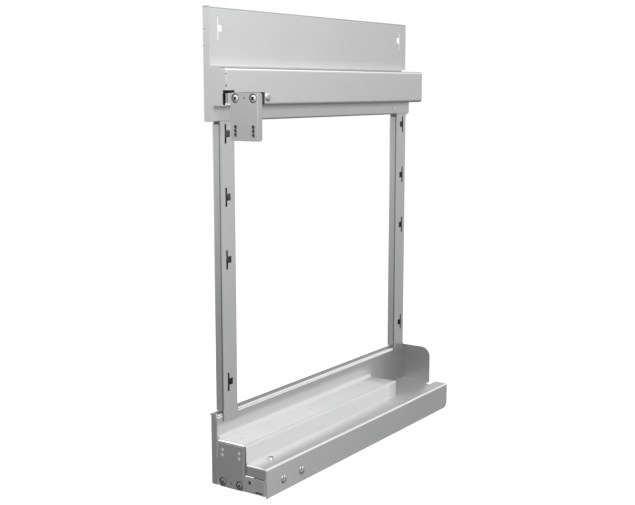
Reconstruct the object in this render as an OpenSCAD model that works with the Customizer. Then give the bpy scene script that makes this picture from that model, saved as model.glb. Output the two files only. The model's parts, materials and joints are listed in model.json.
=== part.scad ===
// Side-mounted pull-out cargo frame for a narrow base unit: a folded steel frame and stepped base
// that ride on two full-extension ball runners. X runs from the cabinet side wall to the goods
// side, Y from the door to the back, Z up. Everything is laid out from the slotted face of the
// posts (X = 0), the front edge (Y = 0) and the underside of the base (Z = 0). The finished model
// is then moved so that its origin is the centre of the cabinet screws on the side wall.

/* [Sheet metal] */
// Thickness of the folded sheet
sheet_t = 1.5; // [1.2:0.1:1.8]
// Outside radius of a tight fold
fold_r = 2.5; // [2:0.1:3]
// Depth of the upper shell behind the face of the posts
frame_back = 16.5; // [13:0.5:18]

/* [Upper shell] */
// Length of the channel, front to back
shell_len = 499; // [498:1:540]
// How far the plate runs past the channel's rear end
plate_tail = 9.5; // [6:0.5:12]
// Height of the top edge
top_z = 624; // [600:0.1:660]
// Height of the shelf on top of the channel
shelf_z = 547.5; // [544:0.1:552]
// Height of the channel
channel_h = 47.8; // [44:0.1:50]
// How far the channel stands out from the face of the posts
channel_out = 22; // [20:0.5:30]
// Outside radius of the channel's long edges
channel_r = 4; // [3:0.1:6]
// Width of the folded front strip beside the plate
front_strip_w = 11.1; // [6:0.1:12]
// Lower end of the front strip
front_strip_z = 480; // [478:0.5:481]
// Gap between the channel's lower lip and the header
lip_gap = 2; // [1:0.1:4]

/* [Window frame] */
// Lower edge of the header above the window
header_z = 480.5; // [476:0.5:488]
// How far the header runs past the rear post
header_tail = 9; // [6:0.5:12]
// Front edge of the front post
post_inset = 13; // [10:0.5:20]
// Width of a post
post_w = 30; // [26:0.5:36]
// Depth of a post behind its face
post_back = 14; // [12:0.5:16]
// Rear edge of the rear post
post_end = 487; // [480:0.5:488]
// How far a post's foot laps over the base's back wall
post_lap = 11.4; // [8:0.1:16]
// Gap above a post's front side wall
flange_relief = 4; // [2:0.5:6]

/* [Hook slots] */
// Height of a hook slot
slot_h = 25; // [20:0.5:30]
// Width of a hook slot's upright
slot_w = 3.4; // [2.5:0.1:4]
// Height of the square tab opening beside the upright
tab_h = 8.8; // [7:0.1:10]
// Width of that tab opening
tab_w = 7; // [6:0.1:8]
// Distance of the upright from the outer edge of its post
slot_inset = 10.7; // [9:0.1:12]
// Height of the top slot's centre
slot_z = 464.2; // [455:0.1:466]
// Distance from one slot position to the next
slot_pitch = 82; // [70:1:86]
// Height of the slots' centre in the shell's plate
plate_slot_z = 598.3; // [590:0.1:604]
// Height of the slots in the shell's plate
plate_slot_h = 30.5; // [20:0.5:32]
// Distance of the plate's front slot behind the front edge
plate_slot_front = 30.2; // [20:0.1:34]
// Distance of the plate's rear slot from the channel's rear end
plate_slot_rear = 10.3; // [8:0.1:24]

/* [Base] */
// Length of the base
base_len = 490; // [484:0.5:494]
// Outer face of the base's outer wall
base_out = 80; // [74:0.5:100]
// Height of the base's floor
floor_z = 38; // [34:0.5:42]
// Height of the base's back wall
back_z = 95.4; // [90:0.1:110]
// Width of the back wall's top flange
back_flange = 12; // [8:0.1:12.5]
// Width of the folded strip at the front of the back wall
front_flange = 8.5; // [6:0.1:10]
// Height of the raised cover over the lower runner
cover_z = 63; // [60:0.5:70]
// Length of the raised cover
cover_len = 383; // [340:1:400]
// Seam between the raised cover and the riser, from the face of the posts
cover_w = 43.9; // [40:0.1:44]
// Face of the riser between the cover and the floor
riser_x = 47.1; // [47:0.1:52]
// Width of the seam
seam = 0.4; // [0.2:0.1:0.8]
// Radius of the cove where the cover meets the back wall
cove_r = 6; // [4:0.5:7]
// First small hole in the cover, behind the front edge
cover_hole_y = 23; // [15:0.5:30]
// Distance to the second small hole in the cover
cover_hole_pitch = 161; // [120:1:180]
// Diameter of the small holes in the cover
cover_hole_d = 2.6; // [2:0.1:4]
// Depth of the front fold under the base's floor
apron_h = 15; // [12:0.5:15.5]
// Width of the end wall, from the face of the posts
end_wall_w = 49.4; // [40:0.1:52]
// Radius of the end wall's free corner
end_wall_r = 15; // [6:0.5:20]
// Width of the relief notch beside the end wall
notch_w = 9; // [6:0.5:12]
// How far the outer wall runs past the end wall
outer_tail = 4.5; // [2:0.5:8]
// How far the outer wall reaches below the base
outer_drop = 1.8; // [0:0.1:3]
// Length of the relief notch beside the end wall
notch_len = 16; // [10:0.5:20]
// Radius of the outer wall's lower rear corner
base_corner_r = 10; // [4:0.5:16]

/* [Ball runners] */
// Length of the sliding rails
rail_len = 480; // [460:1:482]
// How far the frame pulls out
travel = 450; // [400:5:456]
// Height of a runner
rail_h = 45; // [44:0.1:46]
// Thickness of a runner, cabinet rail to sliding rail
rail_w = 12.7; // [12.5:0.1:13.2]
// Sheet thickness of the rails
rail_t = 1.2; // [1:0.05:1.25]
// Diameter of the balls
ball_d = 4; // [3.8:0.05:4.1]
// Gap between a ball and its raceway
race_gap = 0.25; // [0.2:0.01:0.3]
// Balls in each row
balls = 8; // [4:1:12]
// Front end of the runners
rail_y = 5; // [3:0.5:8]
// Height of the lower runner's centre line
runner_z = 41; // [38:0.5:44]
// Distance between the centre lines of the two runners
runner_pitch = 480; // [478:0.5:482]
// Distance of the frame from the cabinet side wall
wall_gap = 2; // [2:0.1:6]
// First screw hole in the cabinet rails, behind the front edge
wall_hole_y = 37; // [30:1:60]
// Distance from the first to the last screw hole
wall_hole_pitch = 416; // [384:32:416]
// Diameter of the cabinet screw holes
wall_hole_d = 5; // [4:0.1:6]
// Length of the rear stop blocks
stop_len = 9; // [6:0.5:12]

/* [Door fixings] */
// Thickness of the door brackets and arms
door_t = 1.8; // [1.5:0.1:2.2]
// Width of a door bracket
bracket_w = 43.3; // [40:0.1:48]
// Height of a door bracket
bracket_h = 59.5; // [52:0.5:66]
// Radius of a bracket's corners
bracket_r = 4; // [2:0.5:6]
// Depth of a bracket's side flange
bracket_flange = 7; // [5:0.5:9]
// Left edge of the upper bracket
upper_bracket_x = 30; // [28:0.5:36]
// Lower edge of the upper bracket
upper_bracket_z = 457.3; // [450:0.1:458]
// Left edge of the lower bracket
lower_bracket_x = 2; // [1:0.5:6]
// Lower edge of the lower bracket
lower_bracket_z = 1.2; // [0.5:0.1:4]
// Distance between the two screws that clamp a bracket
clamp_pitch = 27.8; // [26:0.1:30]
// Distance of those screws from the bracket's edge
clamp_edge = 7; // [6.5:0.1:8]
// Distance between the door screw holes, across
door_hole_x = 28; // [24:0.5:30]
// Distance between the door screw holes, up
door_hole_z = 7.2; // [6:0.1:9]
// Distance between the outermost of the upper bracket's three holes, up
upper_hole_z = 10.2; // [9:0.1:11]
// Diameter of the door screw holes
door_hole_d = 4.8; // [3.5:0.1:5]
// Width of the driver slots behind the lower door screw holes
driver_slot_w = 8; // [7:0.1:8.6]
// Distance of the outer door screw holes from the bracket's free edge
door_hole_edge = 8.5; // [8:0.1:12]
// Height of the upper arm's strip
upper_arm_h = 14; // [12:0.5:15]
// Height of the lower arm's strip
lower_arm_h = 21; // [18:0.5:22]
// Length of the arms along the frame
arm_len = 108; // [100:1:130]
// Length of the upper arm's flush part
flush_len = 68; // [64:0.5:76]
// Length of the tall notch at the front of the channel
arm_notch_len = 16; // [12:0.5:24]

/* [Screws] */
// Shank diameter of the door fixing screws
screw_d = 5; // [4:0.1:5.4]
// Head diameter of the clamp screws
clamp_head_d = 9.4; // [9:0.1:10]
// Head height of the clamp screws
clamp_head_h = 2; // [1.6:0.1:3]
// Depth of the recess round a clamp screw's head
head_recess = 1.2; // [0.8:0.1:1.3]
// Head diameter of the dome-head screws
dome_head_d = 11.4; // [9:0.1:12]
// Head height of the dome-head screws
dome_head_h = 3.2; // [2.4:0.1:3.6]
// Distance of the first dome-head screw behind the front edge
dome_y = 37; // [30:0.5:44]
// Distance to the next dome-head screw
dome_pitch = 41; // [36:0.5:44]
// Rivet diameter in the sliding rails
rivet_d = 4; // [3.2:0.1:4.2]
// Distance of the first and last rivets from the ends of the raised cover
rivet_inset = 18.5; // [16:0.5:24]

/* [Hidden] */
$fn = 48;

SILVER = "#c6c8ca";
DARK_SILVER = "#a9acae";
ZINC = "#b4b7b9";
STEEL = "#d5d7d8";
BLACK = "#2b2c2d";

eps = 0.01;
cut = 1;
seat_gap = 0.3;
hole_gap = 0.3;

// Heights and planes that follow from the sizes above
channel_z = shelf_z - channel_h;
fold_in = fold_r - sheet_t;
cover_front_w = lower_bracket_x + bracket_w - door_t - seat_gap;
wall_x = -2 * sheet_t;
cabinet_x = -frame_back - wall_gap;
header_len = post_end + header_tail;
window_front = post_inset + post_w;
window_rear = post_end - post_w;
post_foot_z = back_z - post_lap;
front_lip = 2.2;
post_tube_z = back_z + front_lip + 0.2;
slit_gap = 0.8;
notch_reach = 3.5;
edge_r = 1.2;
mark_len = 2.4;
mark_w = 0.8;
mark_depth = 0.5;
strip_mark_z = [574.9, 595.7];
channel_mark_z = [525, 540];
channel_mark_x = [3.5, 11.8];
strip_corner_r = 4;
tail_gap = 4;
recess_gap = 1;
through = 9;
upper_arm_z = channel_z + sheet_t + slit_gap;
slit_top_z = upper_arm_z + upper_arm_h + slit_gap;
arm_notch_top_z = slit_top_z + 2.7;
joggle_len = 2.5;
slit_rear = flush_len + joggle_len + 8;
lower_arm_z = 1;
arm_front = -1.3;
bracket_front = arm_front - door_t;
arm_back = arm_front + door_t;
upper_door_z = upper_bracket_z + door_hole_edge + door_hole_z / 2;
lower_door_z = lower_bracket_z + bracket_h - door_hole_edge - door_hole_z / 2;
upper_arm_x = channel_out - sheet_t - door_t;
flush_arm_x = channel_out - door_t;
lower_arm_x = base_out - sheet_t - door_t;
arm_screw_y = slit_rear + 6.5;
arm_screw_z = upper_arm_z + upper_arm_h / 2 + 1.5;
dome_z = 14;
floor_screw_x = 59.4;
nut_t = 3;
nut_w = 9;
arm_hole_x = 53;
arm_hole_z = 14.5;
arm_hole_d = 5;
arm_slot_x = 61.5;
arm_slot_z = 2.6;
arm_slot_len = 13.5;
arm_slot_h = 2.2;

// The origin is the centre of the cabinet screws, on the cabinet side wall
origin_y = wall_hole_y + wall_hole_pitch / 2;
origin_z = runner_z + runner_pitch / 2;

// Runner section: ball rows, rail heights and cages
race_r = ball_d / 2 + race_gap;
row1_x = 4.3;
row1_z = rail_h / 2 - race_r - rail_t;
row2_x = rail_w - 4.1;
row2_z = row1_z - 4.2;
web_gap = 0.9;
cage_t = 0.5;
tab_len = 3;
tab_bite = 0.3;
end_gap = 0.3;
half_travel = travel / 2;
cage_len = rail_len - half_travel - 2 * tab_len - 2 * end_gap;
cage_y = rail_y + tab_len + end_gap + half_travel / 2;
ball_step = cage_len / balls;
rail_hole_y = [wall_hole_y, wall_hole_y + wall_hole_pitch / 2, wall_hole_y + wall_hole_pitch];
top_x = -sheet_t - rail_w;
bottom_x = wall_x - rail_w;
top_z_mid = runner_z + runner_pitch;
slot_rows = [0, 1, 2, 4];

// Placing and profile helpers

module seat() translate([-cabinet_x, -origin_y, -origin_z]) children();

module along_y(y0, len) translate([0, y0 + len, 0]) rotate([90, 0, 0]) linear_extrude(len) children();

module along_x(x0, len) translate([x0, 0, 0]) rotate([90, 0, 90]) linear_extrude(len) children();

module along_z(z0, len) translate([0, 0, z0]) linear_extrude(len) children();

module slab(x0, x1, y0, y1, z0, z1) translate([x0, y0, z0]) cube([x1 - x0, y1 - y0, z1 - z0]);

module plate2d(x0, x1, y0, y1) translate([x0, y0]) square([x1 - x0, y1 - y0]);

// Quarter of a fold: q counts quadrants from +X, +Y, anticlockwise
module fold2d(cx, cy, r_out, t, q) translate([cx, cy]) intersection() {
  difference() { circle(r_out); circle(r_out - t); }
  rotate(90 * q) square(r_out + cut);
}

// What a rounded corner loses: q is the quadrant that the corner points to
module corner2d(cx, cy, r, q) translate([cx, cy]) rotate(90 * q) difference() {
  translate([-r, -r]) square(r + cut);
  translate([-r, -r]) circle(r);
}

// Hook slot through a sheet, h high, the tab on the side dir of the upright
module hook_slot(x, y, z, h, dir) {
  slab(x - 4, x + 4, y - slot_w / 2, y + slot_w / 2, z - h / 2, z + h / 2);
  translate([x, y + dir * (slot_w + tab_w) / 2, z])
    cube([8, tab_w + 2 * eps, tab_h], center = true);
}

module bore_x(x, y, z, d, len) translate([x, y, z]) rotate([0, 90, 0]) cylinder(d = d, h = len);

module bore_y(x, y, z, d, len) translate([x, y, z]) rotate([-90, 0, 0]) cylinder(d = d, h = len);

// Screw along +Z below a low domed head that stands on Z = 0, with a cross recess
module dome_screw(head_d, head_h, shank_d, len) difference() {
  union() {
    intersection() {
      cylinder(d = head_d, h = head_h);
      translate([0, 0, head_h - dome_r(head_d, head_h)]) sphere(r = dome_r(head_d, head_h));
    }
    translate([0, 0, -len]) cylinder(d = shank_d, h = len + eps);
  }
  for (a = [0, 90]) rotate(a) translate([-head_d / 4, -0.6, head_h - 1.4]) cube([head_d / 2, 1.2, 2]);
}

function dome_r(d, h) = (d * d / 4 + h * h) / (2 * h) * 1.06;

module square_nut(x, y, z) translate([x, y, z]) cube([nut_w, nut_t, nut_w], center = true);

// Runner section in (distance from the cabinet rail's back, height)

module race2d(x, z, a0, a1) translate([x, z]) intersection() {
  difference() { circle(race_r + rail_t); circle(race_r); }
  polygon([[0, 0], for (i = [0:3]) 9 * [cos(a0 + (a1 - a0) * i / 3), sin(a0 + (a1 - a0) * i / 3)]]);
}

module both_halves() for (m = [0, 1]) mirror([0, m]) children();

module cabinet_rail2d() both_halves() {
  plate2d(0, rail_t, -eps, row1_z + 1);
  race2d(row1_x, row1_z, 15, 165);
  plate2d(0, row1_x - 2, row1_z + 0.5, row1_z + 0.5 + rail_t);
  plate2d(row1_x + 2, row1_x + 5.2, row1_z + 0.5, row1_z + 0.5 + rail_t);
}

module middle_rail2d() both_halves() {
  plate2d(rail_t + web_gap, 2 * rail_t + web_gap, -eps, row1_z - 2.2);
  race2d(row1_x, row1_z, -130, -15);
  race2d(row2_x, row2_z, 45, 165);
}

module sliding_rail2d() both_halves() {
  plate2d(rail_w - rail_t, rail_w, -eps, row2_z + 0.4);
  race2d(row2_x, row2_z, -130, -12);
}

// Stop tabs that fill the end of a raceway, up to the line z0 to z1 about the ball row
module stop_tab2d(x, z, z0, z1) both_halves() translate([x, z]) intersection() {
  circle(race_r + eps);
  plate2d(-race_r, race_r, z0, z1);
}

module cabinet_rail(x, z) translate([x, 0, z]) difference() {
  union() {
    along_y(rail_y, rail_len + stop_len + 1) cabinet_rail2d();
    along_y(rail_y, tab_len) stop_tab2d(row1_x, row1_z, -tab_bite, race_r + eps);
  }
  for (y = rail_hole_y) bore_x(-cut, y, 0, wall_hole_d, rail_t + 2 * cut);
}

module middle_rail(x, z) translate([x, 0, z]) difference() {
  union() {
    along_y(rail_y, rail_len) middle_rail2d();
    along_y(rail_y + rail_len - tab_len, tab_len) stop_tab2d(row1_x, row1_z, -race_r - eps, tab_bite);
    along_y(rail_y, tab_len) stop_tab2d(row2_x, row2_z, -tab_bite, race_r + eps);
  }
  for (y = rail_hole_y) bore_x(0, y, 0, 2 * wall_hole_d, rail_w / 2);
}

module sliding_rail(x, z) translate([x, 0, z]) difference() {
  union() {
    along_y(rail_y, rail_len) sliding_rail2d();
    along_y(rail_y + rail_len - tab_len, tab_len) stop_tab2d(row2_x, row2_z, -race_r - eps, tab_bite);
  }
  for (y = rivet_y()) bore_x(rail_w / 2, y, 0, rivet_d, rail_w);
  for (y = rail_hole_y) bore_x(rail_w / 2, y, 0, 2 * wall_hole_d, rail_w);
}

function rivet_y() = [for (i = [0:2]) rivet_inset + i * (cover_len / 2 - rivet_inset)];

module ball_cage(x, z, row_x, row_z, x0, x1, dz) for (s = [-1, 1]) translate([x, 0, z]) difference() {
  slab(x0, x1, cage_y, cage_y + cage_len, s * row_z + s * dz - cage_t / 2, s * row_z + s * dz + cage_t / 2);
  for (i = [0:balls - 1]) translate([row_x, cage_y + (i + 0.5) * ball_step, s * row_z - cut - ball_d])
    cylinder(d = ball_d + 0.3, h = 2 * (cut + ball_d));
}

module ball_rows(x, z, row_x, row_z) for (s = [-1, 1], i = [0:balls - 1])
  translate([x + row_x, cage_y + (i + 0.5) * ball_step, z + s * row_z]) sphere(d = ball_d);

module outer_cage(x, z) ball_cage(x, z, row1_x, row1_z, rail_t + seat_gap, row1_x + 3.2, -0.05);

module inner_cage(x, z) ball_cage(x, z, row2_x, row2_z, row2_x - 2.8, rail_w - rail_t - seat_gap, 0.05);

// Round pad between the side wall and the cabinet rail at each screw
module wall_pads(x, z) for (y = rail_hole_y) difference() {
  bore_x(cabinet_x, y, z, 3.2 * wall_hole_d, x - cabinet_x);
  bore_x(cabinet_x - cut, y, z, wall_hole_d, x - cabinet_x + 2 * cut);
}

// Stop block in the rear end of a cabinet rail, with a thinner nose that gives
module rear_stop(x, z) translate([x, rail_y + rail_len + seat_gap, z]) {
  slab(rail_t, rail_w - 2, 2, stop_len, -row2_z, row2_z);
  slab(rail_t + 2, rail_w, 0, 2.5, -row2_z / 2, row2_z / 2);
}

// Blind rivets that hold a sliding rail on the sheet whose goods face is at x
module rail_rivets(x, z) for (y = rivet_y()) {
  bore_x(x, y, z, 2 * rivet_d, 1.4);
  bore_x(x - sheet_t - rail_t - 0.6, y, z, rivet_d - 0.1, sheet_t + rail_t + 1);
  bore_x(x - sheet_t - rail_t - 1.6, y, z, 1.5 * rivet_d, 1.6);
}

// Folded frame

module shell_profile2d() {
  plate2d(-frame_back, sheet_t - frame_back, shelf_z + fold_in, top_z);
  fold2d(fold_r - frame_back, shelf_z + fold_in, fold_r, sheet_t, 2);
  plate2d(fold_r - frame_back, channel_out - channel_r, shelf_z - sheet_t, shelf_z);
  fold2d(channel_out - channel_r, shelf_z - channel_r, channel_r, sheet_t, 0);
  plate2d(channel_out - sheet_t, channel_out, channel_z + channel_r, shelf_z - channel_r);
  fold2d(channel_out - channel_r, channel_z + channel_r, channel_r, sheet_t, 3);
  plate2d(lip_gap, channel_out - channel_r, channel_z, channel_z + sheet_t);
}

// Outline of the folded front: channel end, strip beside the plate and tongue beside the header
module shell_front2d() difference() {
  union() {
    plate2d(-frame_back, channel_out, channel_z, shelf_z);
    plate2d(-frame_back, front_strip_w - frame_back, shelf_z - cut, top_z);
    plate2d(-frame_back, 0, front_strip_z, channel_z + cut);
  }
  corner2d(channel_out, shelf_z, channel_r, 0);
  corner2d(channel_out, channel_z, channel_r, 3);
}

module upper_shell() color(SILVER) seat() difference() {
  union() {
    along_y(0, shell_len) shell_profile2d();
    along_y(0, sheet_t) shell_front2d();
    slab(-frame_back, sheet_t - frame_back, shell_len - eps, shell_len + plate_tail, shelf_z + tail_gap, top_z);
  }
  slab(-frame_back - cut, fold_r - frame_back, shell_len - mark_len, shell_len + cut,
    shelf_z - 2 * sheet_t, shelf_z + tail_gap + mark_w);
  bend_marks();
  along_y(sheet_t, shell_len + plate_tail) corner2d(sheet_t - frame_back, top_z, edge_r, 0);
  along_z(channel_z - cut, channel_h + cut) corner2d(channel_out, 0, fold_r, 3);
  along_z(front_strip_z - cut, top_z) corner2d(-frame_back, 0, fold_r, 2);
  slab(upper_arm_x - notch_reach, channel_out + cut, -cut, arm_notch_len, channel_z + sheet_t, arm_notch_top_z);
  slab(upper_arm_x, channel_out + cut, -cut, slit_rear, channel_z + sheet_t, slit_top_z);
  bore_x(0, arm_screw_y, arm_screw_z, screw_d + hole_gap, 2 * channel_out);
  hook_slot(-frame_back, plate_slot_front, plate_slot_z, plate_slot_h, 1);
  hook_slot(-frame_back, shell_len - plate_slot_rear, plate_slot_z, plate_slot_h, -1);
}

// Nicks in the folded front that mark its bends
module bend_marks() {
  for (z = strip_mark_z)
    slab(front_strip_w - frame_back - mark_len, front_strip_w - frame_back + cut, -cut, mark_depth,
      z - mark_w / 2, z + mark_w / 2);
  for (z = channel_mark_z)
    slab(channel_out - mark_len, channel_out + cut, -cut, 2 * mark_depth, z - mark_w / 2, z + mark_w / 2);
  for (x = channel_mark_x)
    slab(x - mark_w / 2, x + mark_w / 2, -cut, mark_depth, channel_z - cut, channel_z + mark_len);
}

module header_web() color(SILVER) seat() difference() {
  union() {
    slab(-sheet_t, 0, sheet_t, header_len, header_z, shelf_z - sheet_t);
    slab(1 - post_back, 0, window_front, window_rear, header_z, header_z + sheet_t);
  }
  along_x(-frame_back, 2 * frame_back) corner2d(header_len, header_z, channel_r, 3);
  along_y(window_front, window_rear - window_front) corner2d(0, header_z, fold_r, 3);
  for (y = rivet_y()) bore_x(-frame_back, y, top_z_mid, rivet_d, 2 * frame_back);
  for (y = header_rivet_y()) bore_x(-frame_back, y, header_rivet_z(), rivet_d - 1, 2 * frame_back);
}

function header_rivet_y() = [window_front + 9, window_rear - 9];
function header_rivet_z() = header_z + 9;

module header_rivets() color(STEEL) seat() for (y = header_rivet_y()) {
  bore_x(0, y, header_rivet_z(), rivet_d, 0.6);
  bore_x(-sheet_t - 1, y, header_rivet_z(), rivet_d - 1, sheet_t + 1.2);
  bore_x(-sheet_t - 1.2, y, header_rivet_z(), rivet_d, 1.2);
}

// Tube post: side is 1 where the window lies behind it and -1 where it lies in front
module post(y0, side) difference() {
  union() {
    along_z(post_tube_z, header_z - post_tube_z) difference() {
      plate2d(-post_back, 0, y0, y0 + post_w);
      plate2d(sheet_t - post_back, -sheet_t, y0 + sheet_t, y0 + post_w - sheet_t);
      for (q = [0:3])
        corner2d(q == 0 || q == 3 ? 0 : -post_back, q < 2 ? y0 + post_w : y0, fold_r, q);
    }
    slab(-sheet_t, 0, y0, y0 + post_w, post_foot_z, post_tube_z + eps);
    slab(-sheet_t, 0, y0, y0 + post_w, header_z - flange_relief - eps, header_z);
  }
  slab(-post_back - cut, -fold_r, y0 - cut, y0 + fold_r, header_z - flange_relief, header_z + cut);
  for (row = slot_rows)
    hook_slot(0, post_slot_y(y0, side), slot_z - row * slot_pitch, slot_h, side);
}

function post_slot_y(y0, side) = side > 0 ? y0 + slot_inset : y0 + post_w - slot_inset;

module front_post() color(SILVER) seat() post(post_inset, 1);

module rear_post() color(SILVER) seat() post(post_end - post_w, -1);

// Base

module base_back() color(SILVER) seat() difference() {
  union() {
    slab(wall_x, -sheet_t, 0, base_len - sheet_t, 0, back_z);
    slab(wall_x - back_flange, -sheet_t, sheet_t, base_len - sheet_t, back_z - sheet_t, back_z);
    slab(wall_x - front_flange, -sheet_t, 0, sheet_t, 0, back_z + front_lip);
  }
  along_y(sheet_t, base_len) corner2d(-sheet_t, back_z, fold_r, 0);
  along_y(-cut, 2 * cut + sheet_t) corner2d(-sheet_t, back_z + front_lip, strip_corner_r, 0);
  along_z(-cut, back_z + cut) corner2d(-sheet_t, 0, fold_r / 2, 3);
  for (y = rivet_y()) bore_x(wall_x - cut, y, runner_z, rivet_d, sheet_t + 2 * cut);
}

module runner_cover() color(SILVER) seat() difference() {
  union() {
    slab(-sheet_t, cover_w, 0, cover_len, cover_z - sheet_t, cover_z);
    slab(-sheet_t, cover_front_w, 0, sheet_t, floor_z, cover_z);
    slab(-sheet_t, cover_w, cover_len - sheet_t, cover_len, floor_z, cover_z);
    along_y(sheet_t, cover_len - sheet_t) difference() {
      plate2d(-sheet_t, cove_r - sheet_t - 0.5, cover_z - eps, cover_z + cove_r - 0.5);
      translate([cove_r - sheet_t, cover_z + cove_r]) circle(cove_r);
    }
  }
  along_x(-sheet_t - cut, cover_w + sheet_t + 2 * cut) corner2d(cover_len, cover_z, fold_r, 0);
  along_x(0, cover_w + cut) corner2d(0, cover_z, fold_r, 1);
  for (i = [0, 1]) translate([cover_w / 2, cover_hole_y + i * cover_hole_pitch, 0])
    cylinder(d = cover_hole_d, h = 2 * cover_z);
  for (sx = [-1, 1]) driver_slot(lower_bracket_x + bracket_w / 2 + sx * door_hole_x / 2, lower_door_z);
}

// Slot in the base's front through which the door screws are driven
module driver_slot(x, z) for (dz = [-1, 1]) {
  bore_y(x, -cut, z + dz * door_hole_z / 2, driver_slot_w, sheet_t + 2 * cut);
  slab(x - driver_slot_w / 2, x + driver_slot_w / 2, -cut, sheet_t + cut,
    z - door_hole_z / 2, z + door_hole_z / 2);
}

module base_floor() color(SILVER) seat() difference() {
  union() {
    along_y(0, cover_len) {
      plate2d(cover_w + seam, riser_x - fold_r, cover_z - sheet_t, cover_z);
      fold2d(riser_x - fold_r, cover_z - fold_r, fold_r, sheet_t, 0);
      plate2d(riser_x - sheet_t, riser_x, floor_z + fold_in, cover_z - fold_r);
      fold2d(riser_x + fold_in, floor_z + fold_in, fold_r, sheet_t, 2);
    }
    along_y(cover_len - sheet_t, base_len - cover_len + sheet_t)
      plate2d(-sheet_t, riser_x + fold_r, floor_z - sheet_t, floor_z);
    along_y(0, base_len + outer_tail) {
      plate2d(riser_x + fold_in, base_out - fold_r, floor_z - sheet_t, floor_z);
      fold2d(base_out - fold_r, floor_z - fold_r, fold_r, sheet_t, 0);
      plate2d(base_out - sheet_t, base_out, -outer_drop, floor_z - fold_r);
    }
    slab(riser_x, base_out - fold_r, 0, sheet_t, floor_z - apron_h, floor_z);
  }
  along_x(riser_x - cut, base_out) corner2d(0, floor_z, fold_r, 1);
  along_x(riser_x, base_out) corner2d(base_len + outer_tail, -outer_drop, base_corner_r, 3);
  slab(end_wall_w, end_wall_w + notch_w, base_len - notch_len, base_len + cut, 0, floor_z + cut);
  slab(0, end_wall_w + notch_w, base_len, base_len + outer_tail + cut, 0, floor_z + cut);
  for (y = dome_ys()) bore_x(base_out - 2 * sheet_t, y, dome_z, screw_d + hole_gap, 4 * sheet_t);
  translate([floor_screw_x, dome_y, 0]) cylinder(d = screw_d + hole_gap, h = 2 * floor_z);
}

function dome_ys() = [dome_y, dome_y + dome_pitch];

module end_wall() color(DARK_SILVER) seat() along_y(base_len - sheet_t, sheet_t) difference() {
  plate2d(-sheet_t, end_wall_w, floor_z, back_z);
  corner2d(end_wall_w, back_z, end_wall_r, 0);
}

// Door arms and brackets

// Slot across a strip, width w, from u0 to u1 along its length
module slot2d(u0, u1, v, w) {
  for (u = [u0 + w / 2, u1 - w / 2]) translate([u, v]) circle(d = w);
  plate2d(u0 + w / 2, u1 - w / 2, v - w / 2, v + w / 2);
}

module upper_arm() color(ZINC) seat() difference() {
  union() {
    along_z(upper_arm_z, upper_arm_h) {
      plate2d(flush_arm_x, bracket_right(upper_bracket_x) - 3, arm_front, arm_back);
      plate2d(flush_arm_x, channel_out, arm_front, flush_len);
      polygon([[flush_arm_x, flush_len], [channel_out, flush_len],
        [upper_arm_x + door_t, flush_len + joggle_len], [upper_arm_x, flush_len + joggle_len]]);
    }
    slab(upper_arm_x, upper_arm_x + door_t, flush_len + joggle_len - eps, arm_len,
      channel_z + channel_r, upper_arm_z + upper_arm_h);
  }
  along_z(upper_arm_z - cut, upper_arm_h + 2 * cut) corner2d(flush_arm_x, arm_front, fold_r, 2);
  along_x(0, 2 * channel_out) slot2d(arm_screw_y - 5, arm_screw_y + 5, arm_screw_z, screw_d + hole_gap);
  for (x = clamp_xs(upper_bracket_x)) bore_y(x, -through, upper_clamp_z(), screw_d + hole_gap, 2 * through);
}

module lower_arm() color(ZINC) seat() difference() {
  union() {
    slab(lower_bracket_x, lower_arm_x + door_t, arm_front, arm_back, lower_arm_z, lower_arm_z + lower_arm_h);
    slab(lower_arm_x, lower_arm_x + door_t, arm_front, arm_len, 4, lower_arm_z + lower_arm_h);
    slab(lower_arm_x, lower_arm_x + door_t, dome_y - 12, dome_y + 12, 4, floor_z - sheet_t);
    slab(floor_screw_x - 9, lower_arm_x + door_t, dome_y - 12, dome_y + 12,
      floor_z - sheet_t - door_t, floor_z - sheet_t);
  }
  along_z(0, floor_z) corner2d(lower_arm_x + door_t, arm_front, fold_r, 3);
  along_y(sheet_t, arm_len) corner2d(lower_arm_x + door_t, floor_z - sheet_t, fold_r, 0);
  for (y = dome_ys())
    along_x(lower_arm_x - cut, door_t + 2 * cut) slot2d(y - 6, y + 6, dome_z, screw_d + hole_gap);
  translate([floor_screw_x, dome_y, 0]) cylinder(d = screw_d + hole_gap, h = 2 * floor_z);
  for (x = clamp_xs(lower_bracket_x)) bore_y(x, -through, lower_clamp_z(), screw_d + hole_gap, 2 * through);
  bore_y(arm_hole_x, -through, arm_hole_z, arm_hole_d, 2 * through);
  slab(arm_slot_x, arm_slot_x + arm_slot_len, -through, through, arm_slot_z, arm_slot_z + arm_slot_h);
}

function bracket_right(x0) = x0 + bracket_w;
function clamp_xs(x0) = [for (s = [-1, 1]) x0 + bracket_w / 2 + s * clamp_pitch / 2];
function upper_clamp_z() = upper_bracket_z + bracket_h - clamp_edge;
function lower_clamp_z() = lower_bracket_z + clamp_edge;

// Door bracket folded along its right edge; the flange starts flange0 above the lower edge
module bracket(x0, z0, flange0) difference() {
  union() {
    along_x2z(x0, z0) difference() {
      square([bracket_w, bracket_h]);
      corner2d(0, bracket_h, bracket_r, 1);
      corner2d(0, 0, bracket_r, 2);
      if (flange0 > 0) corner2d(bracket_w, 0, bracket_r, 3);
    }
    slab(x0 + bracket_w - door_t, x0 + bracket_w, bracket_front + eps, arm_front + bracket_flange,
      z0 + flange0, z0 + bracket_h);
  }
  along_z(z0 - cut, bracket_h + 2 * cut) corner2d(x0 + bracket_w, bracket_front, door_t, 3);
  along_x(x0 + bracket_w - door_t - cut, door_t + 2 * cut) {
    corner2d(arm_front + bracket_flange, z0 + bracket_h, bracket_r, 0);
    corner2d(arm_front + bracket_flange, z0 + flange0, bracket_r, 3);
  }
}

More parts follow.
